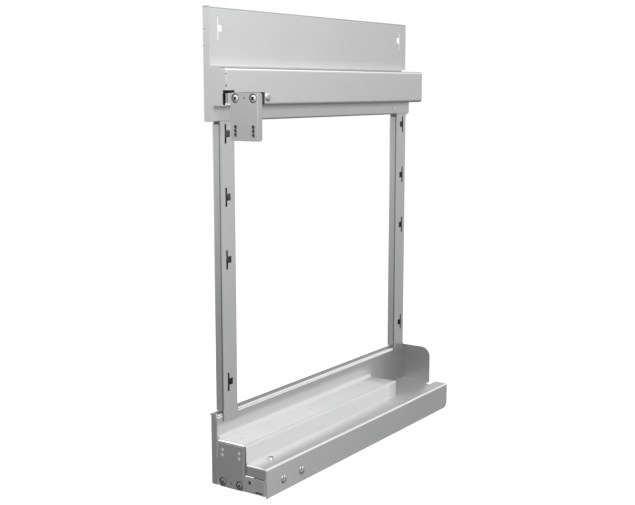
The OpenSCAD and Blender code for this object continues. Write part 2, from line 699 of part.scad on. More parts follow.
// Outline in X and Z, one bracket thick, on the front plane of the brackets
module along_x2z(x0, z0) translate([x0, arm_front, z0]) rotate([90, 0, 0]) linear_extrude(door_t) children();

module clamp_holes(x0, z) {
  for (x = clamp_xs(x0)) {
    bore_y(x, -through, z, screw_d + hole_gap, 2 * through);
    bore_y(x, bracket_front - cut, z, clamp_head_d + 2 * recess_gap, cut + head_recess);
  }
  bore_y(x0 + bracket_w / 2, -through, z, 3, 2 * through);
}

// Door screw holes at the heights dzs about z_mid, on both sides of the bracket
module door_holes(x0, z_mid, dzs) for (sx = [-1, 1], dz = dzs)
  bore_y(x0 + bracket_w / 2 + sx * door_hole_x / 2, -through, z_mid + dz, door_hole_d, 2 * through);

module upper_bracket() color(DARK_SILVER) seat() difference() {
  bracket(upper_bracket_x, upper_bracket_z, 0);
  clamp_holes(upper_bracket_x, upper_clamp_z());
  door_holes(upper_bracket_x, upper_door_z, [-upper_hole_z / 2, 0, upper_hole_z / 2]);
  for (sx = [-1, 1]) translate([upper_bracket_x + bracket_w / 2 + sx * door_hole_x / 2, 0, upper_door_z])
    cube([door_hole_d / 2, 2 * through, upper_hole_z], center = true);
}

module lower_bracket() color(DARK_SILVER) seat() difference() {
  bracket(lower_bracket_x, lower_bracket_z, lower_arm_z + lower_arm_h - lower_bracket_z + seat_gap);
  clamp_holes(lower_bracket_x, lower_clamp_z());
  door_holes(lower_bracket_x, lower_door_z, [-door_hole_z / 2, door_hole_z / 2]);
}

module clamp_screws(x0, z) for (x = clamp_xs(x0))
  translate([x, bracket_front + head_recess, z]) rotate([90, 45, 0])
    dome_screw(clamp_head_d, clamp_head_h, screw_d, 2 * door_t + nut_t + 0.5 - head_recess);

module clamp_nuts(x0, z) for (x = clamp_xs(x0)) difference() {
  square_nut(x, arm_back + nut_t / 2, z);
  bore_y(x, 0, z, screw_d, 9);
}

module upper_clamp_screws() color(ZINC) seat() clamp_screws(upper_bracket_x, upper_clamp_z());

module upper_clamp_nuts() color(ZINC) seat() clamp_nuts(upper_bracket_x, upper_clamp_z());

module lower_clamp_screws() color(ZINC) seat() clamp_screws(lower_bracket_x, lower_clamp_z());

module lower_clamp_nuts() color(ZINC) seat() clamp_nuts(lower_bracket_x, lower_clamp_z());

// Dome-head screw in from the goods side with its nut behind the arm
module side_screw(x, y, z) translate([x, y, z]) rotate([0, 90, 0]) {
  dome_screw(dome_head_d, dome_head_h, screw_d, sheet_t + door_t + nut_t);
  translate([0, 0, -sheet_t - door_t - nut_t]) cylinder(d = nut_w + 1, h = nut_t);
}

module upper_arm_screw() color(ZINC) seat() side_screw(channel_out, arm_screw_y, arm_screw_z);

module lower_arm_screws() color(ZINC) seat() for (y = dome_ys()) side_screw(base_out, y, dome_z);

module floor_screw() color(ZINC) seat() translate([floor_screw_x, dome_y, floor_z]) {
  dome_screw(dome_head_d, dome_head_h, screw_d, sheet_t + door_t + nut_t);
  translate([0, 0, -sheet_t - door_t - nut_t]) cylinder(d = nut_w + 1, h = nut_t);
}

// Runners

module cabinet_rail_top() color(STEEL) seat() cabinet_rail(top_x, top_z_mid);
module cabinet_rail_bottom() color(STEEL) seat() cabinet_rail(bottom_x, runner_z);
module wall_pads_top() color(BLACK) seat() wall_pads(top_x, top_z_mid);
module wall_pads_bottom() color(BLACK) seat() wall_pads(bottom_x, runner_z);
module rear_stop_top() color(BLACK) seat() rear_stop(top_x, top_z_mid);
module rear_stop_bottom() color(BLACK) seat() rear_stop(bottom_x, runner_z);
module middle_rail_top() color(STEEL) seat() middle_rail(top_x, top_z_mid);
module middle_rail_bottom() color(STEEL) seat() middle_rail(bottom_x, runner_z);
module outer_cage_top() color(ZINC) seat() outer_cage(top_x, top_z_mid);
module outer_cage_bottom() color(ZINC) seat() outer_cage(bottom_x, runner_z);
module outer_balls_top() color(STEEL) seat() ball_rows(top_x, top_z_mid, row1_x, row1_z);
module outer_balls_bottom() color(STEEL) seat() ball_rows(bottom_x, runner_z, row1_x, row1_z);
module inner_cage_top() color(ZINC) seat() inner_cage(top_x, top_z_mid);
module inner_cage_bottom() color(ZINC) seat() inner_cage(bottom_x, runner_z);
module inner_balls_top() color(STEEL) seat() ball_rows(top_x, top_z_mid, row2_x, row2_z);
module inner_balls_bottom() color(STEEL) seat() ball_rows(bottom_x, runner_z, row2_x, row2_z);
module sliding_rail_top() color(STEEL) seat() sliding_rail(top_x, top_z_mid);
module sliding_rail_bottom() color(STEEL) seat() sliding_rail(bottom_x, runner_z);
module rail_rivets_top() color(STEEL) seat() rail_rivets(0, top_z_mid);
module rail_rivets_bottom() color(STEEL) seat() rail_rivets(-sheet_t, runner_z);

cabinet_rail_top();
cabinet_rail_bottom();
wall_pads_top();
wall_pads_bottom();
rear_stop_top();
rear_stop_bottom();
middle_rail_top();
middle_rail_bottom();
outer_cage_top();
outer_cage_bottom();
outer_balls_top();
outer_balls_bottom();
inner_cage_top();
inner_cage_bottom();
inner_balls_top();
inner_balls_bottom();
sliding_rail_top();
sliding_rail_bottom();
rail_rivets_top();
rail_rivets_bottom();
upper_shell();
header_web();
front_post();
rear_post();
header_rivets();
base_back();
runner_cover();
base_floor();
end_wall();
upper_arm();
upper_bracket();
upper_clamp_screws();
upper_clamp_nuts();
upper_arm_screw();
lower_arm();
lower_bracket();
lower_clamp_screws();
lower_clamp_nuts();
lower_arm_screws();
floor_screw();
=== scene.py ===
"""Looks of the pull-out cargo frame: finishes, softened sheet edges and small trim."""

import json
import math

import bmesh
import bpy
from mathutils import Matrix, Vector


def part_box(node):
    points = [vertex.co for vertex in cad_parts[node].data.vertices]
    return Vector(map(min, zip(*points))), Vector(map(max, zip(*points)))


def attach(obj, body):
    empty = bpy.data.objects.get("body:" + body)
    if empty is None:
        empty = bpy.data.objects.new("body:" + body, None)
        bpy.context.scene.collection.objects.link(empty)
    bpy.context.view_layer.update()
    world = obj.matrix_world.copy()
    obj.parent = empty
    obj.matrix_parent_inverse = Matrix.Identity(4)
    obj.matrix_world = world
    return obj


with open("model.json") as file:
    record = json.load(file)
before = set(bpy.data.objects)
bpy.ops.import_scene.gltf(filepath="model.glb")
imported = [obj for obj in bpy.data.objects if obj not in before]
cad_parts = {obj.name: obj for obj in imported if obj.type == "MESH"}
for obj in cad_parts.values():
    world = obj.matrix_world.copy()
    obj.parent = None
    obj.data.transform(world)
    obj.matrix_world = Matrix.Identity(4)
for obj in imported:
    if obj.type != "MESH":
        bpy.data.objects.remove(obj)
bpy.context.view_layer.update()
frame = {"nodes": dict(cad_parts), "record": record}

MM = 0.001
FACE_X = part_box("header_web")[1].x
FRONT_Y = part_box("upper_shell")[0].y
UNDER_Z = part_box("base_back")[0].z

# Main places on the folded sheet, in design millimetres as at() takes them
PLATE_TOP_Z = 624.0
SHELF_Z = 547.5
CHANNEL_FOOT_Z = 499.7
HEADER_FOOT_Z = 480.5
BACK_TOP_Z = 95.4
COVER_Z = 63.0
FLOOR_Z = 38.0
COVER_END_Y = 383.0
RISER_X = 47.1
OUTER_WALL_X = 80.0
BRACKET_FACE_Y = -3.1


def at(x, y, z):
    """A point given in millimetres from the posts' face, the front edge and the base's underside."""
    return Vector((FACE_X + x * MM, FRONT_Y + y * MM, UNDER_Z + z * MM))


# Camera, solved from the photo's straight edges; angles in degrees

PHOTO_WIDTH_PX = 635
FOCAL_PX = 1071.84
SENSOR_MM = 36
CAMERA_PLACE = (880.4, -1048.2, 522.7)
CAMERA_YAW = 34.52
CAMERA_DOWN = 8.74
NEAREST_M = 0.01
FARTHEST_M = 50


def add_camera():
    data = bpy.data.cameras.new("camera")
    data.sensor_width = SENSOR_MM
    data.lens = FOCAL_PX * SENSOR_MM / PHOTO_WIDTH_PX
    data.clip_start = NEAREST_M
    data.clip_end = FARTHEST_M
    camera = bpy.data.objects.new("camera", data)
    camera.location = at(*CAMERA_PLACE)
    camera.rotation_euler = (math.radians(90 - CAMERA_DOWN), 0, math.radians(CAMERA_YAW))
    bpy.context.scene.collection.objects.link(camera)
    bpy.context.scene.camera = camera


# Shader maths

class Signal:
    """A shader socket that takes part in Python arithmetic."""

    def __init__(self, graph, socket):
        self.graph = graph
        self.socket = socket

    def _math(self, operation, *values):
        return self.graph.node("ShaderNodeMath", {"operation": operation}, *values)

    def __add__(self, other):
        return self._math("ADD", self, other)

    def __sub__(self, other):
        return self._math("SUBTRACT", self, other)

    def __rsub__(self, other):
        return self._math("SUBTRACT", other, self)

    def __mul__(self, other):
        return self._math("MULTIPLY", self, other)

    def __pow__(self, other):
        return self._math("POWER", self, other)

    __radd__ = __add__
    __rmul__ = __mul__

    def clamped(self):
        return self.graph.node("ShaderNodeClamp", {}, self)


class Graph:
    """A shader tree whose nodes all come from one method."""

    def __init__(self, tree):
        self.tree = tree

    def node(self, kind, settings, *values, output=None, **named):
        """A new node; values fill its inputs in order or by name, and output picks the socket it gives."""
        made = self.tree.nodes.new(kind)
        for key, value in settings.items():
            setattr(made, key, value)
        inputs = [s for s in made.inputs if s.enabled]
        for socket, value in zip(inputs, values):
            self.set(socket, value)
        for key, value in named.items():
            self.set(next(s for s in inputs if s.name == key.replace("_", " ")), value)
        outputs = [s for s in made.outputs if s.enabled and output in (None, s.name)]
        return Signal(self, outputs[0]) if outputs else None

    def set(self, socket, value):
        if isinstance(value, Signal):
            self.tree.links.new(value.socket, socket)
        elif value is not None:
            socket.default_value = value

    def vector(self, operation, *values, output=None):
        return self.node("ShaderNodeVectorMath", {"operation": operation}, *values, output=output)

    def part(self, vector, axis):
        """One of the vector's X, Y and Z."""
        return self.node("ShaderNodeSeparateXYZ", {}, vector, output=axis)

    def spread(self, signal, low, high):
        """The signal taken from low..high to 0..1 and held there outside."""
        return self.node("ShaderNodeMapRange", {}, signal, low, high, 0.0, 1.0)

    def light_path(self, output):
        return self.node("ShaderNodeLightPath", {}, output=output)

    def seen_rays(self):
        """1 for rays from the lens, straight or through glass."""
        return (self.light_path("Is Camera Ray") + self.light_path("Is Transmission Ray")).clamped()


def grey(value, warmth=0.0):
    return (value * (1 + warmth), value, value * (1 - warmth), 1)


# Painted highlights mix towards this white, painted shade towards the deep grey below
HIGHLIGHT_WHITE = grey(0.97)
HIGHLIGHT_SHARE = 0.8
DEEP_SHADE = grey(0.03)


class Finish(Graph):
    """A material under construction."""

    def __init__(self, name):
        self.material = bpy.data.materials.new(name)
        self.material.use_nodes = True
        super().__init__(self.material.node_tree)
        self.shader = self.tree.nodes["Principled BSDF"]
        self.place = self.node("ShaderNodeTexCoord", {}, output="Object")

    def noise(self, scale, detail, stretch=(1, 1, 1)):
        """Noise around 0.5; scale is in features per metre."""
        where = self.node("ShaderNodeMapping", {}, self.place, Scale=stretch)
        return self.node("ShaderNodeTexNoise", {}, where, Scale=scale, Detail=detail, output="Fac")

    def mix(self, share, low, high):
        return self.node("ShaderNodeMix", {"data_type": "RGBA"}, share, low, high)

    def bump(self, height, distance, strength, normal=None):
        """The normal over a relief; distance is its depth in metres."""
        relief = {"Height": height, "Distance": distance, "Strength": strength, "Normal": normal}
        return self.node("ShaderNodeBump", {}, **relief)

    def painted_shade_and_highlights(self, colour, dark, light):
        """The colour with its dark zones darkened, mostly as painted shade, and its light zones, where it
        has any, painted bright as highlights.
        """
        if light is not None:
            colour = self.mix(light * HIGHLIGHT_SHARE, colour, HIGHLIGHT_WHITE)
        return self.mix(dark.clamped(), colour, DEEP_SHADE)

    def coat(self, **sockets):
        """Sets the shader's sockets by name and gives the finished material."""
        for key, value in sockets.items():
            self.set(self.shader.inputs[key.replace("_", " ")], value)
        return self.material


class Zones:
    """Soft-edged bands on a finish, in design millimetres."""

    def __init__(self, finish):
        self.finish = finish
        self.facing = finish.node("ShaderNodeNewGeometry", {}, output="Normal")
        moved = finish.vector("ADD", finish.place, (-FACE_X, -FRONT_Y, -UNDER_Z))
        self.axes = {axis: finish.part(moved, axis) * (1 / MM) for axis in "XYZ"}
        self.turned = {axis: finish.part(self.facing, axis) for axis in "XYZ"}

    def past(self, axis, start, full):
        """Rises from 0 at start to 1 at full."""
        return self.finish.spread(self.axes[axis], start, full)

    def band(self, axis, low, high, blur=0.3):
        return self.past(axis, low - blur, low + blur) * self.past(axis, high + blur, high - blur)

    def edge_on(self, axis):
        """1 where a face is parallel to the axis."""
        turned = self.turned[axis]
        return self.finish.spread(turned * turned, 0.5, 0.3)


# Painted light: each gives a finish's dark zones, mostly painted shade, and its painted highlights, or None

# X and Z of the dots punched in the upper shell's front
PUNCHED_DOTS = ((-13.1, 574.9), (-13.1, 595.7), (21.0, 525.0), (21.0, 540.0))
DOT_HALF_WIDTH = 0.6
DOT_HALF_HEIGHT = 0.7


def shell_painted_light_and_dots(zones):
    """Dark: a darker band at the plate's top edge, painted shade above the shelf and on the channel's top
    fold, and the punched dots.

    Light: a painted highlight along the line under that fold.
    """
    # A darker band along the plate's top edge
    top_edge_band = zones.past("Z", PLATE_TOP_Z - 1.8, PLATE_TOP_Z - 1.0)
    plate_face = zones.past("X", -10.0, -12.0) * zones.edge_on("Y")
    # Painted shadow line on the plate just above the shelf
    shelf_shadow = zones.band("Z", SHELF_Z + 0.7, SHELF_Z + 2.9, 0.4) * plate_face
    channel = zones.past("X", 14.0, 16.0)
    # Painted shade on the channel's top fold
    top_fold = zones.past("Z", SHELF_Z - 0.9, SHELF_Z - 0.5) * channel
    # Painted highlight under that fold
    fold_highlight = zones.band("Z", SHELF_Z - 2.2, SHELF_Z - 1.2) * channel
    dark = top_edge_band * 0.5 + shelf_shadow * 0.4 + top_fold * 0.8
    front = zones.past("Y", 3.0, 2.0)
    for x, z in PUNCHED_DOTS:
        across = zones.band("X", x - DOT_HALF_WIDTH, x + DOT_HALF_WIDTH, 0.2)
        upright = zones.band("Z", z - DOT_HALF_HEIGHT, z + DOT_HALF_HEIGHT, 0.2)
        dark = dark + across * upright * front
    return dark, fold_highlight


def post_painted_shade(zones):
    """Dark: painted shade on the cut edges of the hook slots and along each post's fold."""
    front_slots = zones.band("Y", 20.5, 34.5, 0.2)
    rear_slots = zones.band("Y", 465.5, 479.5, 0.2)
    # Painted shade on the cut edges of the hook slots
    slot_edge_shade = zones.band("X", -1.6, -0.2, 0.1) * (front_slots + rear_slots)
    # Painted shade along each post's fold
    fold_shade = zones.band("X", -2.7, -0.6, 0.2)
    return zones.edge_on("X") * (slot_edge_shade * 0.9 + fold_shade * 0.6), None


def back_painted_light(zones):
    """Painted shade on the top flange behind the base's back wall, and a painted highlight on the fold
    before it.
    """
    top = zones.past("Z", BACK_TOP_Z - 1.0, BACK_TOP_Z - 0.4)
    # Painted shade on the top flange
    flange_shade = top * zones.past("X", -3.6, -4.6) * zones.past("Y", 1.6, 2.4)
    # Painted highlight on the top fold
    fold_highlight = zones.past("Z", BACK_TOP_Z - 4.2, BACK_TOP_Z - 3.4) * zones.past("X", -4.4, -3.6)
    return flange_shade * 0.65, fold_highlight


def base_painted_light(zones):
    """Painted shade in the seam between the raised cover and the riser, and a painted highlight on the outer
    wall's fold.
    """
    # Painted shade in the seam
    seam = zones.band("X", RISER_X - 3.5, RISER_X - 2.5, 0.2) * zones.band("Z", COVER_Z - 2.0, COVER_Z + 2.0)
    # Painted highlight on the outer wall's fold
    outer_fold = zones.past("X", OUTER_WALL_X - 2.2, OUTER_WALL_X - 1.4)
    return seam * 0.4, outer_fold * zones.past("Z", FLOOR_Z - 2.4, FLOOR_Z - 1.6)


def header_painted_shade(zones):
    """Dark: the shade under the channel and along the header's lower fold."""
    under_channel = zones.past("Z", CHANNEL_FOOT_Z - 7.2, CHANNEL_FOOT_Z + 0.3)
    lower_fold = zones.band("Z", HEADER_FOOT_Z - 0.5, HEADER_FOOT_Z + 1.7, 0.4)
    return under_channel * 0.5 + lower_fold * 0.12, None


def arm_painted_shade(zones):
    """Dark: the shade where the upper arm comes round the channel's end."""
    return zones.band("X", 22.4, 25.2, 0.3) * 0.55, None


# Leans: each says how far level faces lean outwards and upright faces upwards

def shell_lean(zones):
    """The plate's foot, which rolls into the shelf."""
    foot = zones.past("Z", SHELF_Z + 14.5, SHELF_Z + 2.0) * zones.past("Z", SHELF_Z + 1.0, SHELF_Z + 1.7)
    return 0.0, foot * zones.past("X", -6.0, -8.0) * 0.4


def base_lean(zones):
    """The base's walls, which roll into its floors and into the top flange."""
    fading = 1.1 - zones.past("Y", 0, 400) * 0.4
    past_cover = zones.past("Y", COVER_END_Y - 3, COVER_END_Y + 7)
    before_end = zones.past("Y", COVER_END_Y + 9, COVER_END_Y - 33)
    towards_outer_wall = zones.past("X", 50, OUTER_WALL_X)
    beside_cover = zones.past("X", RISER_X - 0.1, RISER_X + 0.1) * (1.0 - towards_outer_wall * 0.7)
    floor_part = beside_cover + (1.0 - beside_cover) * past_cover
    on_floor = floor_part * (before_end * 0.6 + 0.4) * zones.past("Z", COVER_Z - 3, COVER_Z - 5)
    cover_part = zones.past("Z", COVER_Z - 3, COVER_Z - 1) * zones.past("Z", COVER_Z + 11, COVER_Z + 1)
    on_cover = cover_part * (before_end * 0.75 + 0.25)
    wall_foot = zones.past("Z", FLOOR_Z - 3, FLOOR_Z - 1) * zones.past("Z", 85, 58)
    outer_wall = zones.past("X", OUTER_WALL_X - 1.0, OUTER_WALL_X - 0.4) * zones.past("Y", 400, 0)
    top_fold = zones.band("Z", BACK_TOP_Z - 4.2, BACK_TOP_Z - 2.2)
    return (on_floor + on_cover) * fading, wall_foot * before_end * 1.1 + outer_wall * 0.1 + top_fold * 0.9


def rolled_normal(finish, lean):
    """Leans level faces outwards and walls upwards where the sheet rolls from one into the next."""
    zones = Zones(finish)
    outwards, upwards = lean(zones)
    level = zones.turned["Z"] * zones.turned["Z"]
    sideways = 1.0 - zones.turned["Y"] * zones.turned["Y"]
    lift = finish.node("ShaderNodeCombineXYZ", {}, level * outwards, 0.0, (1.0 - level) * sideways * upwards)
    return finish.vector("NORMALIZE", finish.vector("ADD", zones.facing, lift))


# Finishes

def powder_coat(name, tone, metallic, roughness, painted_light_and_marks=None, lean=None):
    """Silver powder coat: metal flake, a fine orange peel, faint rubbing from handling, and painted shade
    and highlights in its zones.
    """
    finish = Finish(name)
    flake = finish.noise(2600, detail=0)
    peel = finish.noise(780, detail=1)
    cloud = finish.noise(9, detail=2)
    rub = finish.spread(finish.noise(34, detail=4, stretch=(1, 1, 3)), 0.60, 0.74)
    shade = finish.spread(flake * 0.55 + cloud * 0.45, 0.36, 0.64)
    colour = finish.mix(shade, grey(tone * 0.97, -0.006), grey(tone * 1.03, -0.002))
    colour = finish.mix(rub * 0.12, colour, grey(tone * 0.9))
    # Painted shade and painted highlights at the zones the function gives
    if painted_light_and_marks:
        colour = finish.painted_shade_and_highlights(colour, *painted_light_and_marks(Zones(finish)))
    leaned = rolled_normal(finish, lean) if lean else None
    return finish.coat(
        Base_Color=colour,
        Metallic=metallic,
        Roughness=roughness + (flake - 0.5) * 0.10 + rub * 0.06,
        Normal=finish.bump(peel * 0.8 + flake * 0.2, 0.00006, 0.3, leaned),
    )


def zinc_plate(name, tone, roughness, metallic=0.9, grain=(1, 1, 1), painted_light_and_marks=None):
    """Plated steel with dull patches and a drawn grain; grain says how fine it lies along X, Y and Z."""
    finish = Finish(name)
    streak = finish.noise(420, detail=3, stretch=grain)
    patch = finish.noise(60, detail=3)
    shade = finish.spread(streak * 0.6 + patch * 0.4, 0.30, 0.70)
    colour = finish.mix(shade, grey(tone * 0.98, -0.01), grey(tone * 1.02, -0.004))
    # Painted shade and painted highlights at the zones the function gives
    if painted_light_and_marks:
        colour = finish.painted_shade_and_highlights(colour, *painted_light_and_marks(Zones(finish)))
    return finish.coat(
        Base_Color=colour,
        Metallic=metallic,
        Roughness=roughness + (streak - 0.5) * 0.08 + (patch - 0.5) * 0.06,
        Normal=finish.bump(streak, 0.00002, 0.08),
    )


def ball_steel(name):
    """Polished ball steel under a thin film of grease."""
    finish = Finish(name)
    film = finish.noise(240, detail=2)
    return finish.coat(
        Base_Color=finish.mix(film, grey(0.74), grey(0.84)),
        Metallic=1.0,
        Roughness=0.09 + film * 0.08,
    )


def black_plastic(name, shine=0.5):
    """Moulded black plastic with a fine spark-eroded grain and a little dust."""
    finish = Finish(name)
    grain = finish.noise(1900, detail=2)
    dust = finish.spread(finish.noise(70, detail=3), 0.5, 0.75)
    return finish.coat(
        Base_Color=finish.mix(dust * 0.5, grey(0.022), grey(0.036)),
        Roughness=0.44 + (grain - 0.5) * 0.2,
        Specular_IOR_Level=shine,
        Normal=finish.bump(grain, 0.00005, 0.4),
    )


SILVER = {"tone": 0.66, "metallic": 0.7, "roughness": 0.34}
# A darker copy of the silver coat: painted shade for the end wall and the strip at its corner
SHADED_SILVER = {"tone": 0.50, "metallic": 0.7, "roughness": 0.34}
CROSS_GRAIN = (1, 6, 1)
LONG_GRAIN = (1, 0.12, 1)

# Finishes of the slots and of single pieces
FINISHES = {
    "bracket_coat": powder_coat("bracket_coat", tone=0.54, metallic=0.55, roughness=0.42),
    "end_coat": powder_coat("silver_coat_end", **SHADED_SILVER),
    # Pale matt zinc: painted light for the inserts in the lower door holes
    "painted_light_zinc": zinc_plate("painted_light_zinc", tone=0.90, roughness=0.45, metallic=0.0),
    "polished_zinc": zinc_plate("polished_zinc", tone=0.92, roughness=0.30),
    # Near-black zinc: painted shade for the keepers behind the upper door holes
    "painted_shade_zinc": zinc_plate("painted_shade_zinc", tone=0.10, roughness=0.45, metallic=0.3),
    "arm_zinc": zinc_plate("zinc_arm", 0.66, 0.40, metallic=0.5, grain=CROSS_GRAIN, painted_light_and_marks=arm_painted_shade),
    "zinc": zinc_plate("zinc", tone=0.66, roughness=0.27, grain=CROSS_GRAIN),
    "rail_steel": zinc_plate("rail_steel", tone=0.66, roughness=0.24, grain=LONG_GRAIN),
    "ball_steel": ball_steel("ball_steel"),
    "black_plastic": black_plastic("black_plastic"),
    "dull_black": black_plastic("dull_black", shine=0.05),
}
POST_COAT = powder_coat("silver_coat_posts", **SILVER, painted_light_and_marks=post_painted_shade)
# Finishes of single nodes, among them every node in silver coat
NODE_FINISHES = {
    "upper_shell": powder_coat("silver_coat_shell", **SILVER, painted_light_and_marks=shell_painted_light_and_dots, lean=shell_lean),
    "header_web": powder_coat("silver_coat_header", **SILVER, painted_light_and_marks=header_painted_shade),
    "header_rivets": FINISHES["polished_zinc"],
    "front_post": POST_COAT,
    "rear_post": POST_COAT,
    "base_back": powder_coat("silver_coat_back", **SILVER, painted_light_and_marks=back_painted_light, lean=base_lean),
    "runner_cover": powder_coat("silver_coat_runner_cover", **SILVER, painted_light_and_marks=base_painted_light, lean=base_lean),
    "base_floor": powder_coat("silver_coat_base_floor", **SILVER, painted_light_and_marks=base_painted_light, lean=base_lean),
    # The end wall in the darker copy of the silver coat: painted shade
    "end_wall": FINISHES["end_coat"],
    "upper_arm": FINISHES["arm_zinc"],
    "lower_arm": FINISHES["arm_zinc"],
    # The same clamp screws in two tones: painted light on the upper ones, painted shade on the lower ones
    "upper_clamp_screws": zinc_plate("upper_zinc_screw_painted_light", tone=0.80, roughness=0.42, metallic=0.3),
    "lower_clamp_screws": zinc_plate("lower_zinc_screw_painted_shade", tone=0.36, roughness=0.42, metallic=0.3),
}


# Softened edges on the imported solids

SOFT_EDGE_MM = {
    "silver_coat": 0.28,
    "bracket_coat": 0.18,
    "zinc": 0.14,
    "rail_steel": 0.12,
    "black_plastic": 0.2,
}
# Pieces whose rounded edges take their normals from the flat faces beside them
HARDENED = {"front_post", "rear_post"}
SAME_POINT_MM = 0.002
FLAT_DEGREES = 0.4
SHARP_DEGREES = 40
FLAT_FACE_WEIGHT = 80


def soften(piece, width, hardened):
    """Rounds the sharp edges of a sheet by width millimetres."""
    weld = piece.modifiers.new("weld", "WELD")
    weld.merge_threshold = SAME_POINT_MM * MM
    flatten = piece.modifiers.new("flatten", "DECIMATE")
    flatten.decimate_type = "DISSOLVE"
    flatten.angle_limit = math.radians(FLAT_DEGREES)
    bevel = piece.modifiers.new("bevel", "BEVEL")
    bevel.width = width * MM
    bevel.segments = 2
    bevel.limit_method = "ANGLE"
    bevel.angle_limit = math.radians(SHARP_DEGREES)
    bevel.use_clamp_overlap = False
    bevel.miter_outer = "MITER_ARC"
    bevel.harden_normals = hardened
    if not hardened:
        normals = piece.modifiers.new("normals", "WEIGHTED_NORMAL")
        normals.keep_sharp = True
        normals.weight = FLAT_FACE_WEIGHT


def dress_nodes():
    for part in frame["record"]["subparts"]:
        node = part["node"]
        slot = part["material_slot"]
        piece = frame["nodes"][node]
        piece.data.materials.clear()
        piece.data.materials.append(NODE_FINISHES.get(node) or FINISHES[slot])
        if slot in SOFT_EDGE_MM:
            soften(piece, SOFT_EDGE_MM[slot], node in HARDENED)


# Small trim, in design millimetres

def add_piece(name, slot, finish, build, *sizes):
    """A trim piece that rides on the frame; build draws its sizes into a bmesh."""
    mesh = bpy.data.meshes.new(name)
    piece = bpy.data.objects.new(name, mesh)
    bpy.context.scene.collection.objects.link(piece)
    shape = bmesh.new()
    build(shape, *sizes)
    for vertex in shape.verts:
        vertex.co = at(*vertex.co)
    bmesh.ops.recalc_face_normals(shape, faces=shape.faces)
    shape.to_mesh(mesh)
    shape.free()
    mesh.materials.append(FINISHES[finish])
    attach(piece, "frame")


def blocks(shape, corners, edge=0.12):
    """Boxes between pairs of corners, with their edges broken."""
    for low, high in corners:
        made = bmesh.ops.create_cube(shape, size=1)["verts"]
        for vertex in made:
            vertex.co = [h if c > 0 else l for c, l, h in zip(vertex.co, low, high)]
        edges = dict.fromkeys(line for vertex in made for line in vertex.link_edges)
        bmesh.ops.bevel(shape, geom=list(edges), offset=edge, segments=2, affect="EDGES", profile=0.5)


COLLAR_SIDES = 32
COLLAR_CHAMFER = 0.1


def collar(shape, centre, inner, outer, proud, deep):
    """A turned ring about a Y axis, proud of the face at centre and reaching deep behind it."""
    x, y, z = centre
    section = [
        (inner, deep),
        (inner, -proud),
        (outer - COLLAR_CHAMFER, -proud),
        (outer, COLLAR_CHAMFER - proud),
        (outer, deep),
    ]
    rings = []
    for side in range(COLLAR_SIDES):
        angle = 2 * math.pi * side / COLLAR_SIDES
        rings.append([
            shape.verts.new((x + radius * math.cos(angle), y + depth, z + radius * math.sin(angle)))
            for radius, depth in section
        ])
    for ring, following in zip(rings, rings[1:] + rings[:1]):
        for j in range(len(section)):
            k = (j + 1) % len(section)
            shape.faces.new((ring[j], ring[k], following[k], following[j]))


def cross(shape, centre, reach, width, depth):
    """A flat X about a Y axis whose front lies at centre."""
    x, y, z = centre
    half = width / 2
    corners = []
    for turn in range(4):
        angle = math.radians(45 + 90 * turn)
        cos, sin = math.cos(angle), math.sin(angle)
        for along, aside in ((half, -half), (reach, -half), (reach, half)):
            corners.append((x + along * cos - aside * sin, z + along * sin + aside * cos))
    front = shape.faces.new([shape.verts.new((u, y, v)) for u, v in corners])
    for made in bmesh.ops.extrude_face_region(shape, geom=[front])["geom"]:
        if isinstance(made, bmesh.types.BMVert):
            made.co.y += depth


# Screw keepers behind the upper bracket's door holes, near black as painted shade inside the holes
UPPER_HOLES_X = (37.65, 65.65)
KEEPER_HALF_WIDTH = 4.5
KEEPER_Y = (-1.25, 0.2)
KEEPER_Z = (459.4, 479.4)
# Other trim made of plain blocks: name, slot, finish, two corners of each block and, where it
# differs, the broken edge
BLOCK_TRIM = (
    # A strip in the darker coat where the end wall meets the back wall: painted shade
    ("corner_seam", "silver_coat", "end_coat", [((-1.7, 487.6, 38.3), (-0.6, 488.7, 93.0))], 0.2),
    # A black block in the rear of the channel's slit: painted shade
    ("slit_filler", "black_plastic", "black_plastic", [((20.55, 70.6, 501.6), (21.4, 78.4, 516.2))]),
    # A polished strip at the foot of the slit, under the upper arm: painted highlight
    ("arm_lip", "zinc", "polished_zinc", [((21.2, -2.1, 501.0), (29.4, -1.55, 503.6))]),
    # Black blocks behind the lower arm's hole and slot: painted shade
    ("arm_backing", "black_plastic", "black_plastic", [
        ((48.8, 0.55, 1.8), (76.5, 1.5, 19.0)),
        ((58.4, 0.6, 18.5), (76.5, 1.5, 22.9)),
    ]),
)
# Each bracket's clamp screws: their places across and their height, then the black X painted as shade in the
# cross recess: its reach, its width and how proud it lies
CLAMP_SCREWS = (
    ("upper", (37.75, 65.55), 509.8, (2.4, 1.8, 0.88)),
    ("lower", (9.75, 37.55), 8.2, (2.0, 1.0, 0.35)),
)
RECESS_DEPTH = 0.5
# Inner radius, outer radius, how proud and how deep
# Black rings at the foot of the clamp screws' recesses: painted shade
CLAMP_PAINTED_SHADE_RING = (4.73, 5.66, -0.5, 1.15)
# Inserts in the lower bracket's door holes, pale as painted light from the lit space behind
DOOR_INSERT = (0.9, 2.36, 0.05, 1.7)
DOOR_HOLES = [(x, z) for x in (9.65, 37.65) for z in (45.0, 52.2)]


